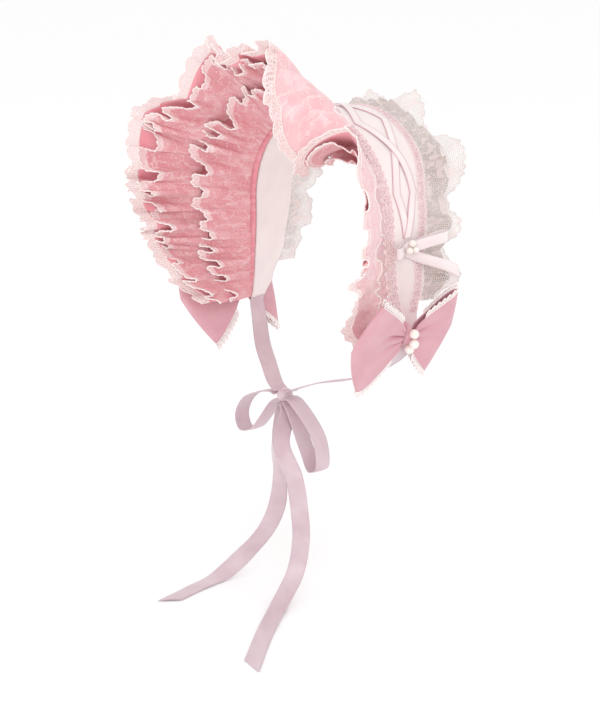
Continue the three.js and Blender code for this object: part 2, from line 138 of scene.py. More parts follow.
# Soft creases that run down a gathered cloth from its seam, a few millimetres apart
def gatherCreases(shader, place, pitch, normal):
    drawnOut = {0: place, 1: (1 / pitch, 1 / (14 * pitch), 1)}  # 14 times as long as wide
    place = addNode(shader, "VectorMath", drawnOut, operation="MULTIPLY")["Vector"]
    height = addNode(shader, "TexNoise", {"Vector": place, "Scale": 1, "Detail": 2})["Fac"]
    return addBump(shader, height, strength=0.5, depth=1.2, normal=normal)


# Plain-woven rose cotton, its rose deepened in part as painted shade: matt, with a crossed thread texture
# and soft clouds of colour
def cotton(name, deep, colour, thread):
    material, shader = newMaterial(name, Roughness=0.85, Sheen_Weight=0.35, Sheen_Roughness=0.5)
    place = flatMillimetres(shader)
    cloud = softNoise(shader, place, scale=1 / 16, detail=4, low=0.36, high=0.66)
    link(shader, mixTint(shader, cloud, deep, colour), "Base Color")
    threads = {"Vector": place, "Scale": linesPerUnit / thread, "Distortion": 1.2}
    warp = addNode(shader, "TexWave", threads, bands_direction="X")["Fac"]
    weft = addNode(shader, "TexWave", threads, bands_direction="Y")["Fac"]
    weave = mathNode(shader, "MULTIPLY", warp, weft)
    woven = addBump(shader, weave, strength=0.3, depth=0.3)
    link(shader, gatherCreases(shader, place, 3.5, woven), "Normal")
    return material


# Machine lace: a fine net with corded veins and worked petals, over sheer cloth or with open holes
def laceCloth(name, deep, ground, thread, petal, lace):
    material, shader = newMaterial(name, Roughness=0.8, Sheen_Weight=0.3, Sheen_Roughness=0.5)
    place = flatMillimetres(shader)
    toEdge = {"voronoi_dimensions": "2D", "feature": "DISTANCE_TO_EDGE"}
    cell, threadFrom, threadTo = lace["net"]
    cells = {"Vector": place, "Scale": 1 / cell, "Randomness": 0.6}
    net = addNode(shader, "TexVoronoi", cells, **toEdge)["Distance"]
    net = addNode(shader, "MapRange", {"Value": net, 1: threadFrom, 2: threadTo, 3: 1, 4: 0})["Result"]
    wander = {"Vector": place, "Scale": 1.6 / lace["vein"], "Detail": 2}
    drift = addNode(shader, "TexNoise", wander)["Color"]
    longer = {0: drift, "Scale": 1.1 * lace["vein"]}
    drift = addNode(shader, "VectorMath", longer, operation="SCALE")["Vector"]
    drawn = addNode(shader, "VectorMath", {0: place, 1: drift}, operation="ADD")["Vector"]
    loops = {"Vector": drawn, "Scale": 1 / lace["vein"]}
    vein = addNode(shader, "TexVoronoi", loops, **toEdge)["Distance"]
    half = lace["cord"] / lace["vein"] / 2
    vein = addNode(shader, "MapRange", {"Value": vein, 1: half * 0.7, 2: half * 1.6, 3: 1, 4: 0})["Result"]
    patch = softNoise(shader, drawn, scale=1.3 / lace["vein"], detail=1, low=0.54, high=0.6)
    cloud = softNoise(shader, place, scale=1 / 22, detail=3, low=0.35, high=0.68)
    tint = mixTint(shader, cloud, deep, ground)
    petals = mathNode(shader, "MULTIPLY", patch, lace["petalShare"])
    tint = mixTint(shader, petals, tint, petal)
    nets = mathNode(shader, "MULTIPLY", net, lace["netShare"])
    veins = mathNode(shader, "MULTIPLY", vein, lace["veinShare"])
    threads = mathNode(shader, "MAXIMUM", nets, veins)
    tint = mixTint(shader, threads, tint, thread)
    link(shader, tint, "Base Color")
    if "holes" in lace:
        solid = mathNode(shader, "MAXIMUM", net, vein)
        solid = mathNode(shader, "MAXIMUM", solid, patch)
        shown = {"Value": solid, 3: lace["holes"], 4: 1}
        link(shader, addNode(shader, "MapRange", shown)["Result"], "Alpha")
    raised = addBump(shader, threads, strength=0.25, depth=0.3)
    normal = gatherCreases(shader, place, lace["crease"], raised)
    link(shader, normal, "Normal")
    if "sheer" in lace:
        letThrough(shader, tint, normal, lace["sheer"])
    return material


# Twisted cotton thread, as whipped along a lace edge: bright, matt, with a spiral of strands
def cottonThread(name, deep, colour):
    material, shader = newMaterial(name, Roughness=0.75, Sheen_Weight=0.4)
    place = flatMillimetres(shader)
    strands = {"Vector": place, "Scale": 0.3, "Distortion": 0.5}
    twist = addNode(shader, "TexWave", strands, bands_direction="DIAGONAL")["Fac"]
    link(shader, mixTint(shader, twist, deep, colour), "Base Color")
    link(shader, addBump(shader, twist, strength=0.4, depth=0.2), "Normal")
    return material


# Moulded bead with a pearl lacquer: cream under a clear, slightly milky gloss
def pearlLacquer():
    material, shader = newMaterial(
        "pearl_lacquer", Roughness=0.22, IOR=1.53, Coat_Weight=0.6, Coat_Roughness=0.08, Sheen_Weight=0.1
    )
    place = addNode(shader, "TexCoord", {})["Object"]
    # clouds of lacquer about 3 mm across
    cloud = softNoise(shader, place, scale=1 / (3 * mm), detail=2, low=0.35, high=0.65)
    link(shader, mixTint(shader, cloud, "#f3e7dd", "#fbf4ee"), "Base Color")
    return material


# net: cell in millimetres and where its thread begins and ends, from the edge of a cell at 0 to its
# middle at about 0.5; vein: pitch of the corded veins and width of their cord
laceOnSatin = {
    "net": (2.2, 0.06, 0.16), "netShare": 0.25, "vein": 17, "cord": 0.8, "veinShare": 0.55,
    "petalShare": 0.55, "crease": 4.5,
}
speckledChiffon = {
    "net": (2.6, 0.46, 0.3), "netShare": 0.6, "vein": 12, "cord": 0.7, "veinShare": 0.5,
    "petalShare": 0.55, "crease": 3.0, "sheer": 0.12,
}
edgeNet = {
    "net": (1.4, 0.12, 0.32), "netShare": 0.7, "vein": 7, "cord": 0.7, "veinShare": 0.8,
    "petalShare": 0.6, "crease": 4, "sheer": 0.2, "holes": 0.35,
}
backNet = {
    "net": (1.6, 0.1, 0.28), "netShare": 0.6, "vein": 13, "cord": 0.7, "veinShare": 0.7,
    "petalShare": 0.8, "crease": 4, "sheer": 0.2, "holes": 0.4,
}
lacingEdgeShade = {"ribbon": 7, "starts": 1.1, "full": 0.6, "colour": "#e3bcc2"}  # painted shade: a darker pink along both edges of the ribbon
finishes = {
    "band": satin("blush_polyester_satin", "#ebdfdd", "#f1e6e3", 0.42),
    "bow": satin("rose_polyester_satin", "#d29aa4", "#daa8b1", 0.5),
    "ribbon": satin("mauve_satin_ribbon", "#ccb2ba", "#d9c4ca", 0.3),
    "whiteRibbon": satin("white_satin_ribbon", "#ecdfe0", "#f4eaea", 0.3),
    "lacing": satin("satin_ribbon_with_painted_edge_shade", "#ecdfde", "#f3e8e7", 0.3, hem=lacingEdgeShade),
    # the inside's deeper rose is partly the cloth's own colour and partly painted shade over the inside of
    # the brim
    "brimInside": cotton("rose_cotton", "#ea929e", "#f0a6b0", 0.9),
    # the inner ruffles' deeper rose is partly their own colour and partly painted shade inside the brim
    "ruffle": laceCloth(
        "speckled_rose_chiffon_with_painted_shade", "#e3979f", "#eaacb2", "#f8e0df", "#f0c3c6", speckledChiffon
    ),
    "ruffleEdge": laceCloth(
        "rose_chiffon_lace_hem", "#f0c9cb", "#f4d6d6", "#fcefed", "#f8e2e1", speckledChiffon
    ),
    "outerRuffle": laceCloth("pale_rose_lace", "#e8b4b9", "#edc2c6", "#f8e2e2", "#f3d2d4", speckledChiffon),
    "brimOutside": laceCloth(
        "white_lace_over_rose_satin", "#eab2b8", "#efc3c7", "#f8e4e3", "#f4d6d8", laceOnSatin
    ),
    "edgeLace": laceCloth("rose_net_lace", "#f0cccd", "#f3d8d7", "#f8eae8", "#f5e0de", edgeNet),
    "paleLace": laceCloth("off_white_net_lace", "#e4dcd9", "#ede6e3", "#f5f0ed", "#eed8d6", backNet),
    "greyLace": laceCloth("grey_net_lace", "#b5aaa5", "#c9beba", "#e8dfdb", "#e6d6d4", backNet),
    "braid": laceCloth("rose_braid_lace", "#f4cfd3", "#f7dbdd", "#fcebea", "#f9e1e2", edgeNet),
    "thread": cottonThread("white_cotton_thread", "#f8eae7", "#fff8f5"),
    "roseThread": cottonThread("rose_cotton_thread", "#f5d3d7", "#fce6e8"),
    "greyThread": cottonThread("pale_grey_cotton_thread", "#e4dbd8", "#f1ebe8"),
    "pearl": pearlLacquer(),
}
print("materials made:", len(finishes))


# Meshes
def newPiece(name, bm, materials):
    mesh = bpy.data.meshes.new(name)
    for face in bm.faces:
        face.smooth = True
    bm.to_mesh(mesh)
    bm.free()
    for material in materials:
        mesh.materials.append(finishes[material])
    piece = bpy.data.objects.new(name, mesh)
    scene.collection.objects.link(piece)
    return piece


def spread(ends, u):
    return ends[0] + (ends[1] - ends[0]) * u


def dress(piece, slot, *nodes):
    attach(piece, "root")
    if nodes:
        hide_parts(*nodes)
    return piece


# A cloth: a grid moved to place(s, v) with s between the ends. flat is its size as cut, which its UV map
# keeps, layers are where its next finish starts, and back is the finish of its other face
def makeCloth(
    name, slot, nodes, place, ends, facets, flat, cloths, turned=False, layers=(), wall=0, back=0
):
    bm = bmesh.new()
    uvs = bm.loops.layers.uv.new("flat")
    grid = bmesh.ops.create_grid(bm, x_segments=facets[0], y_segments=facets[1], size=0.5)["verts"]
    places = np.array([vert.co for vert in grid]) + 0.5
    u, v = places[:, 0], places[:, 1]
    cut = {vert: (a * flat[0] * mm, b * flat[1] * mm) for vert, a, b in zip(grid, u, v)}
    across = dict(zip(grid, v))
    for vert, point in zip(grid, place(spread(ends, u), v) * mm):
        vert.co = point
    for face in bm.faces:
        for loop in face.loops:
            loop[uvs].uv = cut[loop.vert]
        middle = sum(across[vert] for vert in face.verts) / len(face.verts)
        face.material_index = sum(middle > start for start in layers)
    if turned:
        bmesh.ops.reverse_faces(bm, faces=bm.faces)
    piece = newPiece(name, bm, cloths)
    if wall:
        shell = piece.modifiers.new("thickness", "SOLIDIFY")
        shell.thickness = wall * mm
        shell.offset = 0
        shell.material_offset = back
        shell.material_offset_rim = back
    return dress(piece, slot, *nodes)


def unit(vectors):
    return vectors / np.maximum(np.linalg.norm(vectors, axis=-1, keepdims=True), 1e-9)


def runAlong(points):
    return np.concatenate([[0], np.cumsum(np.linalg.norm(np.diff(points, axis=0), axis=1))])


# A round thread along points, from a grid rolled up around them
def addThread(bm, points, radius, sides):
    uvs = bm.loops.layers.uv.get("flat") or bm.loops.layers.uv.new("flat")
    points = np.asarray(points, float)
    run = runAlong(points)
    ways = unit(np.gradient(points, axis=0))
    sideways = np.zeros_like(points)
    side = np.cross(ways[0], (0.3, 0.5, 0.81))
    for i, way in enumerate(ways):
        side = side - way * side.dot(way)
        side = side / max(np.linalg.norm(side), 1e-9)
        sideways[i] = side
    radius = np.broadcast_to(radius, len(points))
    grid = bmesh.ops.create_grid(bm, x_segments=len(points) - 1, y_segments=sides, size=0.5)["verts"]
    places = np.array([vert.co for vert in grid]) + 0.5
    at = np.rint(places[:, 0] * (len(points) - 1)).astype(int)
    turn = 2 * math.pi * places[:, 1]
    upward = np.cross(ways, sideways)
    ring = sideways[at] * np.cos(turn)[:, None] + upward[at] * np.sin(turn)[:, None]
    moved = (points[at] + ring * radius[at][:, None]) * mm
    faces = {face for vert in grid for face in vert.link_faces}
    girth = 4 * mm
    cut = {vert: (run[i] * mm, b * girth) for vert, i, b in zip(grid, at, places[:, 1])}
    for vert, point in zip(grid, moved):
        vert.co = point
    for face in faces:
        for loop in face.loops:
            loop[uvs].uv = cut[loop.vert]
    bmesh.ops.remove_doubles(bm, verts=grid, dist=1e-7)
    ends = [edge for edge in {e for f in faces for e in f.edges} if edge.is_boundary]
    bmesh.ops.holes_fill(bm, edges=ends, sides=sides)


def makeThreads(name, slot, material, lines):
    bm = bmesh.new()
    for points, radius in lines:
        addThread(bm, points, radius, sides=5)
    return dress(newPiece(name, bm, [material]), slot)


def vector(x, y, z):
    return np.stack(np.broadcast_arrays(x, y, z), axis=-1).astype(float)


# Columns of a table between its rows, which are crests and hollows
def rowsAt(rows, at):
    rows = np.array(rows, float)
    at = np.asarray(at, float)
    i = np.clip(np.searchsorted(rows[:, 0], at) - 1, 0, len(rows) - 2)
    share = np.clip((at - rows[i, 0]) / (rows[i + 1, 0] - rows[i, 0]), 0, 1)
    share = (share * share * (3 - 2 * share))[..., None]
    return np.moveaxis((rows[i] * (1 - share) + rows[i + 1] * share)[..., 1:], -1, 0)


# A zone's start and length for a ramp from 0 to 1, or its middle and half width for a hump
def ramp(s, zone):
    return np.clip((s - zone[0]) / zone[1], 0, 1)


def hump(s, zone):
    return np.exp(-(((s - zone[0]) / zone[1]) ** 2))


# Crown band: a half circle over the top with two legs that spread a little
band = {
    "radius": 88.0, "leg": 92.0, "legSpread": math.radians(15), "dome": 120.0, "wall": 2.0,
    # share of the way to an end, width ahead, width behind
    "sections": [(0, 30, 28), (0.28, 30, 25), (0.55, 29, 13), (0.78, 28, 7), (0.93, 26, -3), (1, 25, -9)],
    "facets": (220, 24), "cut": 58, "meanCut": 52,
    "fill": 0.8,  # share of the widest strip that is left when it is shaped
}
quarter = band["radius"] * math.pi / 2
halfLine = quarter + band["leg"]


def lineAt(s):
    s = np.asarray(s, float)
    side = np.where(s < 0, -1.0, 1.0)
    legRadius = band["leg"] / band["legSpread"]
    arc = np.minimum(np.abs(s), quarter) / band["radius"]
    spreading = np.maximum(np.abs(s) - quarter, 0) / legRadius
    x = band["radius"] * np.sin(arc) + legRadius * (1 - np.cos(spreading))
    z = band["radius"] * (np.cos(arc) - 1) - legRadius * np.sin(spreading)
    turn = arc - spreading
    out = vector(side * np.sin(turn), 0, np.cos(turn))
    along = vector(np.cos(turn), 0, -side * np.sin(turn))
    return vector(side * x, 0, z), out, along


def bandWidths(s):
    return rowsAt(band["sections"], np.abs(s) / halfLine)


def bandPoint(s, y, lift):
    point, out, _ = lineAt(s)
    y = np.asarray(y, float)
    point = point + vector(0, y, 0)
    return point + out * (lift - y * y / (2 * band["dome"]))[..., None]


def bandSurface(s, v):
    ahead, behind = bandWidths(s)
    return bandPoint(s, behind + (-ahead - behind) * v, band["wall"] / 2 + 0 * s)


def makeBand():
    piece = makeCloth(
        "crown_band_satin", "blush_satin", ["crown_band"], bandSurface, (-halfLine, halfLine),
        band["facets"], (2 * halfLine, band["meanCut"]), ["band"], wall=band["wall"],
    )


# Cloth that leaves the band and curves from one slope to another, off its own surface by off
def clothPoint(s, fold, seamY, forward, way, off):
    reach, rise, tip = fold
    rise, bend = np.radians(rise), np.radians(tip - rise)
    bend = np.where(np.abs(bend) < 1e-6, 1e-6, bend)
    slope = rise + bend * way
    ahead = reach * (np.sin(slope) - np.sin(rise)) / bend - off * np.sin(slope)
    outward = reach * (np.cos(rise) - np.cos(slope)) / bend + off * np.cos(slope)
    _, out, _ = lineAt(s)
    root = bandPoint(s, seamY, band["wall"] / 2 + 0 * s)
    return root + vector(0, forward * ahead, 0) + out * outward[..., None]


# Ruffled brim and its lace edge
brim = {
    # along the band, length, slope at the seam, slope at the edge
    "folds": [
        (-228, 46, 4, 4), (-205, 70, 24, 4), (-181, 88, 26, 54), (-160, 90, 46, 12), (-140, 100, 32, 58),
        (-118, 104, 48, 12), (-95, 108, 36, 52), (-70, 84, 56, 16), (-46, 86, 50, 64), (-22, 84, 56, 20),
        (6, 78, 66, 32), (28, 84, 78, -36), (46, 86, 78, -92), (62, 66, 66, -104), (81, 92, 44, 50),
        (98, 88, 49, 39), (114, 89, 40, 46), (132, 87, 46, 36), (150, 81, 33, 46), (168, 78, 40, 26),
        (186, 68, 24, 38), (206, 56, 22, 10), (228, 38, 4, 4),
    ],
    "seamSpace": 1.1, "cloth": 1.0, "facets": (620, 40), "flatDepth": 88,
    "lobe": (42, 24), "lobeCalm": 0.85,  # the smooth rolled lobe
    "near": (66, 24), "nearCalm": 0.5,  # change to the calmer near side
    "wave": {"deep": 4.0, "pitch": 20.0, "sway": 2.2, "growth": 2.2, "limit": 1.15},
    "pleat": {"deep": 0.9, "pitch": 8, "fade": 0.14},
    "cut": (108, 84),  # depth of the strip at its deepest and on average
    "lace": 12.0, "laceSpace": 0.3, "laceFacets": (1500, 5),
    "scallop": (13.0, 0.3),  # pitch, share of the lace
    "thread": 0.45, "seamThread": 0.4, "threadSteps": 2600,
}
brimEnds = (brim["folds"][0][0], brim["folds"][-1][0])


# Waves of the brim's edge, round as cloth makes them, and small pleats at its seam
def brimPoint(s, way, off=0.0):
    waves, pleats = brim["wave"], brim["pleat"]
    calm = 1 - brim["lobeCalm"] * hump(s, brim["lobe"])
    calm = calm * (1 - brim["nearCalm"] * ramp(s, brim["near"]))
    full = np.clip(way, 0, waves["limit"]) ** waves["growth"] * calm
    phase = 2 * np.pi * (s / waves["pitch"] + 0.4 * np.sin(s / 23))
    wave = waves["deep"] * full * np.sin(phase)
    gather = 2 * np.pi * (s / pleats["pitch"] + 0.3 * np.sin(s / 11))
    pleat = pleats["deep"] * np.exp(-way / pleats["fade"]) * np.sin(gather)
    s = np.clip(s - waves["sway"] * full * np.sin(2 * phase), *brimEnds)
    ahead, _ = bandWidths(s)
    fold = rowsAt(brim["folds"], s)
    return clothPoint(s, fold, -(ahead + brim["seamSpace"]), -1, way, off + wave + pleat)


# Length of a gathered edge up to each place along the band, for even scallops
def edgeRun(edge, ends, count=3000):
    s = np.linspace(*ends, count)
    run = runAlong(edge(s))
    return lambda at: np.interp(at, s, run), float(run[-1])


# Area of a strip cut in a curve, so that its edge is longer than its seam
def cutArea(place, ends, width, count=1500):
    s = np.linspace(*ends, count)
    lengths = [runAlong(place(s, v + 0 * s))[-1] for v in (0.0, 0.5, 1.0)]
    return width * mm * (lengths[0] + 2 * lengths[1] + lengths[2]) / 4 * mm


def scallops(run, pitch, depth):
    return 1 - depth + depth * np.abs(np.sin(np.pi * run / pitch))


# Stitches along a whipped edge, as swellings of its thread
def beaded(run, radius, pitch=2.4, deep=0.3):
    return radius * (1 + deep * np.sin(2 * np.pi * run / pitch))


def makeBrim():
    runAt, edgeLength = edgeRun(lambda s: brimPoint(s, 1.0 + 0 * s), brimEnds)
    piece = makeCloth(
        "brim_cloth", "rose_cloth", ["brim"], brimPoint, brimEnds, brim["facets"],
        (edgeLength, brim["flatDepth"]), ["brimOutside", "brimInside"], turned=True, wall=brim["cloth"],
        back=1,
    )
    deepest, average = brim["cut"]
    cutArea(brimPoint, brimEnds, average)

    def laceWay(s, v):
        reach = rowsAt(brim["folds"], s)[0]
        width = brim["lace"] * scallops(runAt(s), *brim["scallop"])
        return 1 + (brim["laceSpace"] + width * v) / reach

    lace = makeCloth(
        "brim_edge_lace", "rose_lace", ["brim_lace_edge"], lambda s, v: brimPoint(s, laceWay(s, v)),
        brimEnds, brim["laceFacets"], (edgeLength, brim["lace"]), ["edgeLace"], turned=True,
    )
    s = np.linspace(*brimEnds, brim["threadSteps"])
    lines = [
        (brimPoint(s, laceWay(s, 1.0)), beaded(runAt(s), brim["thread"])),
        (brimPoint(s, laceWay(s, 0.0), brim["cloth"] / 2), brim["seamThread"]),
    ]
    cord = makeThreads("brim_edge_lace_thread", "rose_lace", "thread", lines)


# How a gathered strip is made: a lace hem from laceFrom on, and an edge notched into scallops
innerStyle = {
    "kind": "cloth", "slot": "rose_lace", "cloths": ["ruffle", "ruffleEdge"], "cord": "thread",
    "facets": (1300, 22), "threadSteps": 2400, "thread": 0.68, "notch": 0.05, "scallop": 6,
    "laceFrom": [0.88], "turned": False, "cutShare": 0.93,
}
outerStyle = {
    **innerStyle, "cloths": ["outerRuffle", "edgeLace"], "facets": (1100, 14), "turned": True,
    "cutShare": 0.8,
}
# rows on the brim: two inside it and one outside, by the band
innerRow = {
    "style": innerStyle, "solid": True, "way": -1, "rootSpace": 2.6, "fullReach": 88, "wave": 7.0,
    "swell": 4.0, "slant": math.radians(68), "calm": 0.5,
}
brimRuffles = {
    "inner_ruffle_by_band": {
        **innerRow, "root": 0.05, "span": 0.46, "pitch": 15, "shift": 0.0, "stand": 6.5, "sway": 1.6,
        "hang": 24.0,
    },
    "inner_ruffle_by_edge": {
        **innerRow, "root": 0.47, "span": 0.47, "pitch": 12, "shift": 0.3, "stand": 5.0, "sway": 1.3,
        "hang": 17.0,
    },
    "brim_outer_ruffle": {
        **innerRow, "root": 0.02, "span": 0.27, "pitch": 17, "shift": 0.1, "stand": -0.3, "sway": 1.2,
        "hang": 0.0, "style": outerStyle, "solid": False, "way": 1, "rootSpace": 1.0, "swell": 0.0,
        "slant": math.radians(90), "calm": 0.0,
    },
}
# where the ruffles change along the band
ruffleZones = {"top": (-60, 40), "near": (74, 16), "lip": (66, 13)}
ruffleFolds = {
    "growth": 0.8, "uneven": 0.35, "unevenLength": 19, "swellPitch": 41,
    "pleat": 0.6, "pleatPitch": 6, "pleatFade": 0.3,
    "nearCalm": 0.6, "lipLoose": 0.8, "tuck": 0.8, "standLeft": 0.3,
}


# Gathers of uneven width: slow drifts of the phase, each a size and a length
def gatherPhase(s, pitch, shift):
    drifts = ((0.3, 37), (0.2, 15.1), (0.12, 7.3))
    return 2 * np.pi * (s / pitch + shift + sum(size * np.sin(s / length) for size, length in drifts))


# A ruffle that leaves its base cloth at a slant, in folds wider at their crests than at their necks
def rufflePoint(base, folds, row, s, v):
    shape = ruffleFolds
    reach = rowsAt(folds, s)[0]
    phase = gatherPhase(s, row["pitch"], row["shift"])
    edge = np.clip(v, 0, 1)
    full = edge ** shape["growth"] * np.minimum(1, reach / row["fullReach"])
    top = ramp(s, ruffleZones["top"])
    near = ramp(s, ruffleZones["near"])
    lip = hump(s, ruffleZones["lip"])  # under the rolled lobe
    # flatter over the top and on the near side
    loose = 1 - row["calm"] * (top + shape["nearCalm"] * near - shape["lipLoose"] * lip)
    uneven = 1 + shape["uneven"] * np.sin(s / shape["unevenLength"] + 5 * row["shift"])
    wave = row["wave"] * full * uneven * loose * (np.sin(phase) + 0.15 * np.sin(2.3 * phase + 1.3))
    swell = row["swell"] * full * loose * np.sin(2 * np.pi * s / shape["swellPitch"] + 7 * row["shift"])
    pleat = shape["pleat"] * np.exp(-v / shape["pleatFade"]) * np.sin(2 * np.pi * s / shape["pleatPitch"])
    hang = row["hang"] * edge * lip
    tuck = 1 - shape["tuck"] * row["calm"] * near  # hidden behind the edge there
    ahead = row["root"] + row["span"] * v * tuck - wave * math.sin(row["slant"]) / reach
    stand = row["stand"] * full * np.minimum(1, loose + shape["standLeft"] * (1 - near))
    off = row["rootSpace"] + stand + wave * math.cos(row["slant"]) + swell + pleat + hang
    return base(s - row["sway"] * full * np.sin(2 * phase), ahead, row["way"] * off)


# A gathered strip from its seam at v = 0 to its edge at v = 1, with a thread whipped along the edge
def makeGathered(name, place, ends, width, style, nodes):
    runAt, edgeLength = edgeRun(lambda s: place(s, 1.0 + 0 * s), ends)
    notch = lambda s: style["notch"] * (1 - scallops(runAt(s), style["scallop"], 1))
    scalloped = lambda s, v: place(s, v * (1 - v**6 * notch(s)))
    piece = makeCloth(
        f"{name}_{style['kind']}", style["slot"], nodes, scalloped, ends, style["facets"],
        (edgeLength, width), style["cloths"], style["turned"], style["laceFrom"],
    )
    s = np.linspace(*ends, style["threadSteps"])
    lines = [(scalloped(s, 1.0 + 0 * s), beaded(runAt(s), style["thread"]))]
    cord = makeThreads(f"{name}_thread", style["slot"], style["cord"], lines)
    area = cutArea(place, ends, style["cutShare"] * width)
    return piece


def makeBrimRuffles():
    for name, row in brimRuffles.items():
        place = lambda s, v: rufflePoint(brimPoint, brim["folds"], row, s, v)
        width = row["span"] * row["fullReach"]
        nodes = [name] if row["solid"] else []
        makeGathered(name, place, brimEnds, width, row["style"], nodes)


# Ruffles behind the band: a long sheer flounce and a short gathered frill over its root
backRuffle = {
    "folds": [
        (-200, 20, 8, 0), (-182, 32, 18, 38), (-162, 26, 10, -20), (-142, 34, 18, 34), (-120, 30, 10, -22),
        (-96, 38, 28, 58), (-66, 34, 12, -24), (-38, 40, 14, 30), (-12, 34, 10, -12), (14, 40, 14, 28),
        (50, 30, 6, -34), (92, 38, 34, 62), (122, 28, 10, -24), (142, 33, 14, 30), (162, 26, 8, -20),
        (184, 34, 18, 34), (200, 20, 8, 0),
    ],
    "width": 33,
    "wave": {"deep": 2.2, "pitch": 15, "limit": 1.1},
    "pleat": {"deep": 0.5, "pitch": 7, "fade": 0.2},
}
backFrill = {
    "way": 1, "root": 0.04, "span": 0.58, "rootSpace": 1.8, "fullReach": 32, "pitch": 20, "shift": 0.0,
    "stand": 4.5, "wave": 4.5, "swell": 1.5, "sway": 2.0, "slant": math.radians(35), "hang": 0.0,
    "calm": 0.0, "width": 20, "shorter": 0.55, "top": (0, 75),
}
flounceStyle = {
    "kind": "lace", "slot": "pale_lace", "cloths": ["paleLace"], "cord": "greyThread",
    "facets": (900, 22), "threadSteps": 2000, "thread": 0.55, "notch": 0.08, "scallop": 9,
    "laceFrom": [], "turned": False, "cutShare": 1,
}
frillStyle = {**flounceStyle, "slot": "grey_lace", "cloths": ["greyLace"], "facets": (900, 14), "notch": 0}
backEnds = (backRuffle["folds"][0][0], backRuffle["folds"][-1][0])


def backPoint(s, way, off=0.0):
    waves, pleats = backRuffle["wave"], backRuffle["pleat"]
    phase = 2 * np.pi * (s / waves["pitch"] + 0.3 * np.sin(s / 19))
    wave = waves["deep"] * np.clip(way, 0, waves["limit"]) ** 2 * np.sin(phase)
    pleat = pleats["deep"] * np.exp(-way / pleats["fade"]) * np.sin(2 * np.pi * s / pleats["pitch"])
    _, behind = bandWidths(s)
    fold = rowsAt(backRuffle["folds"], s)
    return clothPoint(s, fold, behind + brim["seamSpace"], 1, way, off + (wave + pleat))


def frillPoint(s, v):
    short = 1 - backFrill["shorter"] * hump(s, backFrill["top"])
    return rufflePoint(backPoint, backRuffle["folds"], backFrill, s, v * short)


def makeBackRuffles():
    flounce = makeGathered(
        "back_flounce", backPoint, backEnds, backRuffle["width"], flounceStyle, ["back_flounce"],
    )
    makeGathered(
        "back_frill", frillPoint, backEnds, backFrill["width"], frillStyle, ["back_frill"]
    )


# Lace braid along both edges of the band, with a row of small worked rings
trim = {
    "width": 8.0, "over": 1.6, "end": 0.9, "lift": 2.5, "facets": (700, 5), "threadSteps": 1400,
    "scallop": (6.4, 0.22),  # pitch, share of the width
    "fill": 0.85,  # mean width of the scalloped strip
    "edgeThread": 0.5, "seamThread": 0.4, "seamAt": 0.04,
    "ring": 1.9, "ringPitch": 6.4, "ringThread": 0.42, "ringLift": 0.4, "ringSteps": 13,
}


def makeTrims():
    reach = trim["end"] * halfLine
    ends = (-reach, reach)
    for edge in ("front", "back"):
        atFront = edge == "front"

        def strip(s, v):
            ahead, behind = bandWidths(s)
            inner = scallops(s + reach, *trim["scallop"])
            if atFront:
                inset = -trim["over"] + (trim["over"] + trim["width"] * inner) * v  # over the brim's seam
                return bandPoint(s, -ahead + inset, trim["lift"] + 0 * s)
            return bandPoint(s, behind - trim["width"] * inner * v, trim["lift"] + 0 * s)

        piece = makeCloth(
            f"band_braid_{edge}", "rose_lace", [f"band_trim_{edge}"], strip, ends, trim["facets"],
            (2 * reach, trim["width"]), ["braid"], turned=atFront,
        )
        s = np.linspace(*ends, trim["threadSteps"])
        lines = [
            (strip(s, 1.0 + 0 * s), beaded(s, trim["edgeThread"])),
            (strip(s, trim["seamAt"] + 0 * s), trim["seamThread"]),
        ]
        turn = np.linspace(0, 2 * np.pi, trim["ringSteps"])
        for middle in np.arange(-reach + trim["ringPitch"] / 2, reach, trim["ringPitch"]):
            ringS = middle + trim["ring"] * np.cos(turn)
            ringV = 0.5 + trim["ring"] / trim["width"] * np.sin(turn)
            ring = strip(ringS, ringV) + lineAt(ringS)[1] * trim["ringLift"]
            lines.append((ring, trim["ringThread"]))
        cord = makeThreads(f"band_braid_{edge}_thread", "rose_lace", "roseThread", lines)


# Ribbon laced across the band in two opposite zigzags, which cross at every step
lacing = {
    "width": 7.0, "step": 73.0, "low": 2.5, "high": 3.3, "crown": 0.4, "facets": (240, 8),
    "space": 0.5, "turnRoom": 0.75,  # from the braid: clear space, and share of the width at a turn
}
ribbonWall = 0.5
routeSteps = 400


def makeLacing():
    ends = (-2 * lacing["step"], 2 * lacing["step"])
    room = trim["width"] + lacing["space"] + lacing["width"] * lacing["turnRoom"]
    for name, lift, way in (("under", lacing["low"], 1), ("over", lacing["high"], -1)):

        def place(s, v):
            ahead, behind = bandWidths(s)
            half = (behind + ahead) / 2 - room
            turn = np.pi * s / lacing["step"]
            middle = (behind - ahead) / 2 + way * half * np.arcsin(np.sin(turn)) * 2 / np.pi
            slant = np.hypot(1, half * 2 / lacing["step"])
            crown = lacing["crown"] * (1 - (2 * v - 1) ** 2)
            settled = lacing["low"] + (lift - lacing["low"]) * np.cos(turn) ** 2
            return bandPoint(s, middle + (0.5 - v) * lacing["width"] * slant, settled + crown)

        length = runAlong(place(np.linspace(*ends, routeSteps), np.full(routeSteps, 0.5)))[-1]
        piece = makeCloth(
            f"lacing_ribbon_{name}_satin", "ribbon_satin", [f"lacing_ribbon_{name}"], place, ends,
            lacing["facets"], (length, lacing["width"]), ["lacing"], wall=ribbonWall,
        )


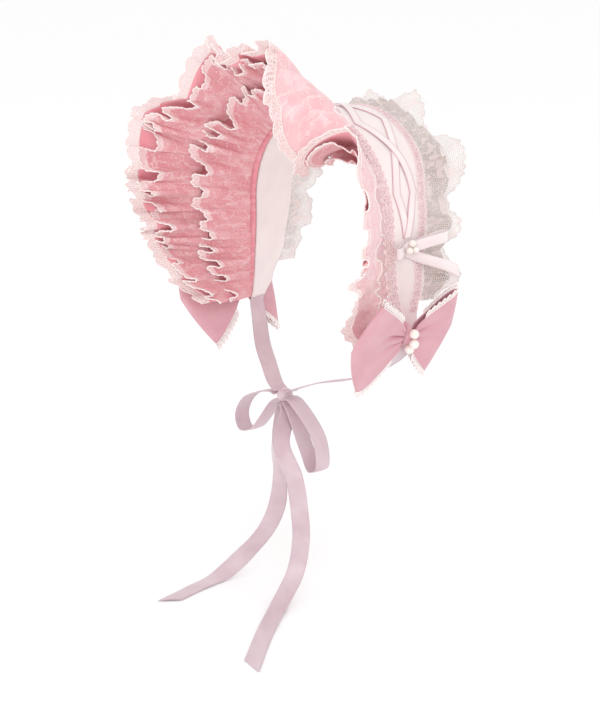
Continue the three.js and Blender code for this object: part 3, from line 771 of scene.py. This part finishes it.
# A smooth route through points, with knots spaced by the root of their distances
def routeAt(points, at):
    points = np.asarray(points, float)
    padded = np.vstack([2 * points[0] - points[1], points, 2 * points[-1] - points[-2]])
    last = len(points) - 1
    way = np.clip(np.asarray(at, float), 0, 1) * last
    i = np.minimum(np.floor(way).astype(int), last - 1)
    share = (way - i)[..., None]
    p0, p1, p2, p3 = (padded[i + k] for k in range(4))
    pairs = ((p0, p1), (p1, p2), (p2, p3))
    gaps = [np.sqrt(np.linalg.norm(b - a, axis=-1, keepdims=True)) for a, b in pairs]
    t0, t1, t2 = (np.maximum(gap, 1e-3) for gap in gaps)
    start = ((p1 - p0) / t0 - (p2 - p0) / (t0 + t1) + (p2 - p1) / t1) * t1
    end = ((p2 - p1) / t1 - (p3 - p1) / (t1 + t2) + (p3 - p2) / t2) * t1
    square = -3 * p1 + 3 * p2 - 2 * start - end
    cube = 2 * p1 - 2 * p2 + start + end
    return p1 + start * share + square * share**2 + cube * share**3


# A flat ribbon along a route; turns are its turn about the route at each point, in degrees
def ribbonPlace(points, turns, width, across, cut, cup):
    length = runAlong(routeAt(points, np.linspace(0, 1, routeSteps)))[-1]
    across = np.asarray(across, float)
    near = 1e-4

    def place(u, v):
        at = u * (1 - cut / length * (1 - v))
        way = routeAt(points, np.minimum(1, at + near)) - routeAt(points, np.maximum(0, at - near))
        way = unit(way)
        wide = unit(across - way * (way @ across)[..., None])
        turn = np.radians(np.interp(at * (len(points) - 1), np.arange(len(points)), turns))[..., None]
        wide = wide * np.cos(turn) + np.cross(way, wide) * np.sin(turn)
        up = np.cross(wide, way)
        bow = cup * (1 - (2 * v - 1) ** 2)
        return routeAt(points, at) + wide * (width * (v - 0.5))[..., None] + up * bow[..., None]

    return place, length


def makeRibbon(
    node, points, width, across, steps, turns=None, cut=0.0, cup=0.6, finish="ribbon"
):
    turns = turns or [0] * len(points)
    place, length = ribbonPlace(points, turns, width, across, cut, cup)
    piece = makeCloth(
        f"{node}_satin", "ribbon_satin", [node], place, (0, 1), (steps, 10), (length, width), [finish],
        wall=ribbonWall,
    )
    flat = (max(width, narrowest) * mm, length * mm)


# A ball with each point moved to place(x, y, z)
def makeBall(name, finish, slot, node, facets, place):
    bm = bmesh.new()
    bmesh.ops.create_uvsphere(bm, u_segments=facets[0], v_segments=facets[1], radius=1)
    for vert in bm.verts:
        vert.co = Vector(place(*vert.co) * mm)
    bmesh.ops.recalc_face_normals(bm, faces=bm.faces)
    dress(newPiece(name, bm, [finish]), slot, node)


def makePearl(bow, number, centre, radius):
    place = lambda *point: centre + radius * np.array(point)
    makeBall(f"{bow}_bead_{number}", "pearl", "pearl", f"{bow}_pearl_{number}", (28, 18), place)


# Small bow on each side of the lacing: two loops, a tail, a knot and three pearls
sideBow = {
    "at": 153, "ahead": 9, "lift": 3.8, "width": 9, "cup": 0.4, "steps": 60, "tailCut": 5,
    "pad": (4.8, 1.5, 1.6),  # radius of the knot, middle and half of its height
    "pearl": 3.0, "pearlLift": 6.2,
    "pearls": [(0, -3.6), (3.2, 2.2), (-3.2, 2.2)],  # back, down
    # back, down the band, out from it
    "back_loop": [
        (5.4, 0, 2.6), (16, -4, 11), (27, -7, 17), (31, -8, 14), (26, -7, 10), (15, -3.5, 5), (5.4, 0, 1),
    ],
    "front_loop": [
        (-5.4, 0, 2.6), (-10, 2, 6), (-15, 3, 8), (-17, 3.5, 6), (-14, 3, 4), (-9, 1.5, 2.2), (-5.4, 0, 1),
    ],
    "back_tail": [(-2, 3, -0.5), (5, 7, -0.3), (11, 10, 2.5), (18, 13, 8), (30, 18, 16), (44, 25, 18)],
}
sides = (("left", 1), ("right", -1))


def makeSideBow(side, sign):
    bow = f"side_bow_{side}"
    s = sign * sideBow["at"]
    _, out, along = lineAt(s)
    down = along * sign
    middle = bandPoint(s, -sideBow["ahead"], sideBow["lift"])
    at = lambda back, drop, lift: middle + np.array([0, back, 0]) + down * drop + out * lift
    for strip, held, cut in (
        ("back_loop", "folded", 0), ("front_loop", "folded", 0), ("back_tail", "hung", sideBow["tailCut"])
    ):
        points = [at(*row) for row in sideBow[strip]]
        makeRibbon(
            f"{bow}_{strip}", points, sideBow["width"], down, sideBow["steps"],
            cut=cut, cup=sideBow["cup"], finish="whiteRibbon",
        )
    radius, height, half = sideBow["pad"]
    turned = np.array(Vector((0, 0, 1)).rotation_difference(Vector(out)).to_matrix())
    pad = lambda x, y, z: at(0, 0, height) + turned @ (x * radius, y * radius, z * half)
    makeBall(f"{bow}_knot_satin", "whiteRibbon", "ribbon_satin", f"{bow}_knot", (24, 14), pad)
    for number, (back, drop) in enumerate(sideBow["pearls"], 1):
        makePearl(bow, number, at(back, drop, sideBow["pearlLift"]), sideBow["pearl"])


# Bow at each end of the band: folded satin wings creased towards the knot, crochet lace, pearls
earBow = {
    "out": 11.2, "ahead": 28, "up": 7, "lean": math.radians(28), "dip": math.radians(7),
    "rootHalf": 10, "rootSpace": 5.3, "rootSwell": 2.0, "lift": 3.5, "opening": 0.8, "swell": 0.5,
    "bulge": 0.35, "cornered": 0.6, "creaseApart": 0.4, "creaseLift": 0.5, "wall": 0.7,
    "facets": (120, 60),
    "cut": 95, "meanCut": 75, "ease": 1.05, "flatHeight": 88,
    "knot": (10, 22, 18),  # across, high, deep
    "groove": 0.06, "grooves": 5,
    "pearl": 4.0, "pearlPitch": 8.4, "pearlSpace": 0.5,
    "lace": 6.4, "laceSpan": (0.06, 0.47), "scallop": 5.2, "laceSteps": 60,
}
# way, reach at the bottom, at the corner and at the top, height of the corner, below, above, depth
wings = {"front": (-1, 39, 56, 37, 0.52, 42, 50, 13), "back": (1, 22, 36, 31, 0.55, 44, 43, 12)}
# creases from the knot out over a wing: height at the knot and at the wing's end, depth, length, width
creases = [
    (0.62, 0.68, 7.0, 0.65, 0.06), (0.36, 0.42, 5.0, 0.95, 0.08), (0.14, 0.2, 2.6, 0.55, 0.08),
    (0.86, 0.8, 2.2, 0.55, 0.07),
]


# Crochet edging along points: two cords joined by bars, and scallops with a small loop on each
crochet = {
    "foot": 0.4,  # height of the first cord, in millimetres
    "middle": 0.42, "hollow": 0.6, "loop": 1.03,  # heights as shares of the lace
    "cord": 0.5, "middleCord": 0.42, "bar": 0.36, "fan": 0.3, "loopThread": 0.32,  # radii
    "barPitch": 0.5, "fanPitch": 0.2,  # in scallops
}


def addCrochet(bm, points, outward, height, pitch):
    run = runAlong(points)
    count = max(3, round(run[-1] / pitch))
    foot, middle = crochet["foot"], height * crochet["middle"]

    def at(x, rise):
        x = np.asarray(x, float) * run[-1] / count
        place = np.stack([np.interp(x, run, points[:, k]) for k in range(3)], axis=-1)
        return place + outward * np.asarray(rise, float)[..., None]

    def crest(x):
        return height * (crochet["hollow"] + (1 - crochet["hollow"]) * np.abs(np.sin(np.pi * x)))

    fine = np.linspace(0, count, count * 12 + 1)
    addThread(bm, at(fine, foot + 0 * fine), crochet["cord"], sides=5)
    addThread(bm, at(fine, middle + 0 * fine), crochet["middleCord"], sides=5)
    addThread(bm, at(fine, crest(fine)), crochet["cord"], sides=5)
    for x in np.arange(crochet["barPitch"] / 2, count, crochet["barPitch"]):
        addThread(bm, at([x, x], [foot, middle]), crochet["bar"], sides=4)
    for x in np.arange(crochet["fanPitch"], count, crochet["fanPitch"]):
        addThread(bm, at([x, x], [middle, crest(x)]), crochet["fan"], sides=4)
    turn = np.linspace(-0.3, 1.3, 9) * np.pi
    for x in range(count):
        loopX = x + 0.5 + 0.16 * np.cos(turn)
        loop = at(loopX, height * crochet["loop"] + 0.8 * np.sin(turn))
        addThread(bm, loop, crochet["loopThread"], sides=4)


def makeEarBow(side, sign):
    bow = f"ear_bow_{side}"
    end, endOut, _ = lineAt(sign * halfLine)
    lean, dip = earBow["lean"], earBow["dip"]
    out = np.array([sign * math.cos(lean), 0, -math.sin(lean)])
    level = np.array([sign * math.sin(lean), 0, math.cos(lean)])
    backward = np.array([0, math.cos(dip), 0]) + level * math.sin(dip)
    up = level * math.cos(dip) + np.array([0, -math.sin(dip), 0])
    middle = end + endOut * earBow["out"] + np.array([0, -earBow["ahead"], earBow["up"]])

    def at(back, rise, lift):
        return middle + back[..., None] * backward + rise[..., None] * up + lift[..., None] * out

    def wingPoint(wing, q, v):
        way, bottom, corner, top, cornerAt, below, above, deep = wing
        share, layer = np.sin(np.pi * q), np.cos(np.pi * q)
        curved = bottom * (1 - v) * (1 - 2 * v) + corner * 4 * v * (1 - v) + top * v * (2 * v - 1)
        cornered = np.interp(v, (0, cornerAt, 1), (bottom, corner, top))
        reach = (1 - earBow["cornered"]) * curved + earBow["cornered"] * cornered
        opening = share ** earBow["opening"]
        low = earBow["rootHalf"] + (below - earBow["rootHalf"]) * opening
        high = earBow["rootHalf"] + (above - earBow["rootHalf"]) * opening
        crease = 0
        for root, tip, depth, length, width in creases:
            line = root + (tip - root) * share
            fade = np.clip(1 - share / length, 0, 1) ** 1.2 * np.minimum(1, 4 * share + 0.35)
            crease = crease - depth * fade * hump(v, (line, width * (0.6 + 0.9 * share)))
        swell = deep * earBow["swell"] * share**2
        apart = (earBow["rootSwell"] + swell + earBow["creaseApart"] * crease) * layer
        lift = earBow["lift"] + apart + deep * earBow["bulge"] * share + earBow["creaseLift"] * crease
        return at(way * (earBow["rootSpace"] + reach * share), -low + (low + high) * v, lift)

    for name, wing in wings.items():
        node = f"{bow}_{name}"
        _, bottom, corner, top, *_ = wing
        piece = makeCloth(
            f"{node}_satin", "bow_satin", [f"{node}_wing"], lambda q, v: wingPoint(wing, q, v), (0, 1),
            earBow["facets"], (2 * corner, earBow["flatHeight"]), ["bow"], wall=earBow["wall"],
        )
        for edge, rim, way in (("top", 1.0, 1), ("bottom", 0.0, -1)):
            bm = bmesh.new()
            q = np.linspace(*earBow["laceSpan"], earBow["laceSteps"])
            for layer in (q, 1 - q):
                rimPoints = wingPoint(wing, layer, rim + 0 * layer)
                addCrochet(bm, rimPoints, up * way, earBow["lace"], earBow["scallop"])
            dress(newPiece(f"{node}_crochet_{edge}", bm, ["thread"]), "rose_lace", f"{node}_lace_{edge}")

    across, high, deep = earBow["knot"]

    # the ribbon's folds run over the knot
    def knotPoint(x, y, z):
        fold = 1 + earBow["groove"] * math.cos(earBow["grooves"] * math.atan2(y, x))
        return middle + (backward * x * across * fold + out * y * deep * fold + up * z * high) / 2

    makeBall(f"{bow}_knot_satin", "bow", "bow_satin", f"{bow}_knot", (36, 24), knotPoint)
    for number in (1, 2, 3):
        rise = (2 - number) * earBow["pearlPitch"]
        swell = deep / 2 * math.sqrt(1 - (2 * rise / high) ** 2)
        centre = middle + up * rise + out * (swell + earBow["pearlSpace"] + earBow["pearl"])
        makePearl(bow, number, centre, earBow["pearl"])


# Chin ties, and their bow with its knot, loops and tails; places are from the middle of the knot
chin = {
    "knot": np.array([0, -65, -240.0]), "radius": 6.0, "fold": 0.05, "folds": 6,
    "width": 15.0, "cut": 9.0, "facing": math.radians(50), "tieSteps": 140, "loopSteps": 120,
    "tailSteps": 180,
    "seat": (6.5, 14.3),  # where a tie ends at the knot, and where it turns towards it
    "tieAngle": math.radians(30),
    "tieStart": (0.5, 5),  # below the end of the band
    "tie": [(93, 44, 44), (70, 30, 27), (36, 11, 17)],
    "loops": {
        "right": [
            (-6.5, 0, 0), (-14, 0, 1), (-38, -8, -8), (-48, -10, -26), (-44, -9, -38), (-32, -7, -36),
            (-12, 0, -8), (-5.6, 0, -3.4),
        ],
        "left": [
            (5, 0, -4.2), (10, 0, -9), (20, 8, -46), (27, 11, -63), (35, 12, -60), (33, 11, -34),
            (14, 0, -2), (6.5, 0, -0.5),
        ],
    },
    # a fourth number is the ribbon's turn there, in degrees
    "tails": {
        "right": [
            (-2, 0, -6.3, -40), (-4, 0, -13, -40), (-2, -12, -42, -95), (2, -8, -70, -135),
            (0, -8, -95, -170), (-14, -10, -124, -180), (-32, -20, -150, -180), (-38, -42, -166.5, -180),
            (-34, -72, -169.5, -180), (-23, -113, -169.5, -180),
        ],
        "left": [
            (2, 0, -6.3, -40), (4, 0, -13, -40), (18, -18, -36, -20), (35, -18, -62, 0), (37, -14, -90, 0),
            (37, -12, -118, 0), (38, -19, -146, 0), (48, -44, -165.5, 0), (78, -82, -169.5, 0),
            (133, -141, -169.5, 0),
        ],
    },
}


def makeChinTies():
    knot, width = chin["knot"], chin["width"]
    ahead, behind = bandWidths(halfLine)
    backward = (0, 1, 0)
    facing = (math.cos(chin["facing"]), math.sin(chin["facing"]), 0)
    for side, sign in sides:
        root = bandPoint(sign * halfLine, (behind - ahead) / 2, band["wall"] / 2)
        down = lineAt(sign * halfLine)[2] * sign
        aside = np.array([sign * math.cos(chin["tieAngle"]), 0, math.sin(chin["tieAngle"])])
        seat, turn = chin["seat"]
        points = [root + down * drop for drop in chin["tieStart"]]
        points += [knot + np.array([sign * x, y, z]) for x, y, z in chin["tie"]]
        points += [knot + aside * turn, knot + aside * seat]
        makeRibbon(
            f"chin_tie_{side}", points, width, backward, chin["tieSteps"]
        )
    for name, rows in chin["loops"].items():
        points = [knot + np.array(row) for row in rows]
        makeRibbon(
            f"chin_bow_loop_{name}", points, width, backward, chin["loopSteps"],
        )
    for name, rows in chin["tails"].items():
        points = [knot + np.array(row[:3]) for row in rows]
        makeRibbon(
            f"chin_bow_tail_{name}", points, width, facing, chin["tailSteps"],
            turns=[row[3] for row in rows], cut=chin["cut"],
        )

    def knotPoint(x, y, z):
        radius = chin["radius"] * (1 + chin["fold"] * math.cos(chin["folds"] * math.atan2(z, x)))
        return knot + np.array([x * radius, y * width / 2, z * radius])

    makeBall("chin_bow_knot_satin", "ribbon", "ribbon_satin", "chin_bow_knot", (36, 20), knotPoint)


# Plain pale floor, soft studio light and the camera at the photograph's angle, in metres
stage = {
    "floor": -0.4106, "floorSize": 12.0, "grain": 400,
    "azimuth": math.radians(50), "elevation": math.radians(8.5), "distance": 1.7,
    "yaw": math.radians(141.29), "pitch": math.radians(-15.68),
    "lens": 100, "sensor": 36, "clip": (0.05, 50),
}
lights = [  # name, place, size, power, aim
    ("key_softbox", (1.6, -0.6, 1.9), 1.4, 4, (0, -0.05, -0.1)),
    ("front_softbox", (1.45, -1.25, 0.4), 0.8, 6, (0, -0.05, -0.1)),
    ("side_fill", (-1.7, -1.3, 0.1), 1.6, 5, (0.05, -0.05, -0.1)),
]


def makeStage():
    bm = bmesh.new()
    bmesh.ops.create_grid(bm, x_segments=1, y_segments=1, size=stage["floorSize"])
    bmesh.ops.translate(bm, verts=bm.verts, vec=(0, 0, stage["floor"]))
    # matt white paper sweep with a trace of grain
    paper, shader = newMaterial("white_paper", Roughness=0.9)
    place = addNode(shader, "TexCoord", {})["Object"]
    grain = addNode(shader, "TexNoise", {"Vector": place, "Scale": stage["grain"]})["Fac"]
    link(shader, mixTint(shader, grain, "#fbfbfb", "#ffffff"), "Base Color")
    finishes["paper"] = paper
    floor = newPiece("floor", bm, ["paper"])

    world = bpy.data.worlds.new("studio")
    scene.world = world
    world.use_nodes = True
    background = world.node_tree.nodes["Background"]
    background.inputs["Color"].default_value = (1, 1, 1, 1)
    background.inputs["Strength"].default_value = 1.0
    for name, place, size, power, aim in lights:
        lamp = bpy.data.lights.new(name, "AREA")
        lamp.size, lamp.energy = size, power
        holder = bpy.data.objects.new(name, lamp)
        holder.location = place
        holder.rotation_euler = (Vector(aim) - Vector(place)).to_track_quat("-Z", "Y").to_euler()
        scene.collection.objects.link(holder)

    view = bpy.data.cameras.new("camera")
    view.lens, view.sensor_width = stage["lens"], stage["sensor"]
    view.clip_start, view.clip_end = stage["clip"]
    camera = bpy.data.objects.new("camera", view)
    flat = stage["distance"] * math.cos(stage["elevation"])
    height = stage["distance"] * math.sin(stage["elevation"])
    camera.location = (flat * math.sin(stage["azimuth"]), -flat * math.cos(stage["azimuth"]), height)
    camera.rotation_euler = Euler((math.pi / 2 + stage["pitch"], 0, stage["yaw"] - math.pi / 2))
    scene.collection.objects.link(camera)
    scene.camera = camera
    scene.view_settings.view_transform = "Standard"


makeStage()
makeBand()
makeBrim()
print("band and brim made")
makeBrimRuffles()
makeBackRuffles()
print("ruffles made")
makeTrims()
makeLacing()
for side, sign in sides:
    makeSideBow(side, sign)
    makeEarBow(side, sign)
makeChinTies()
print("trims, bows and ties made")

bpy.context.view_layer.update()
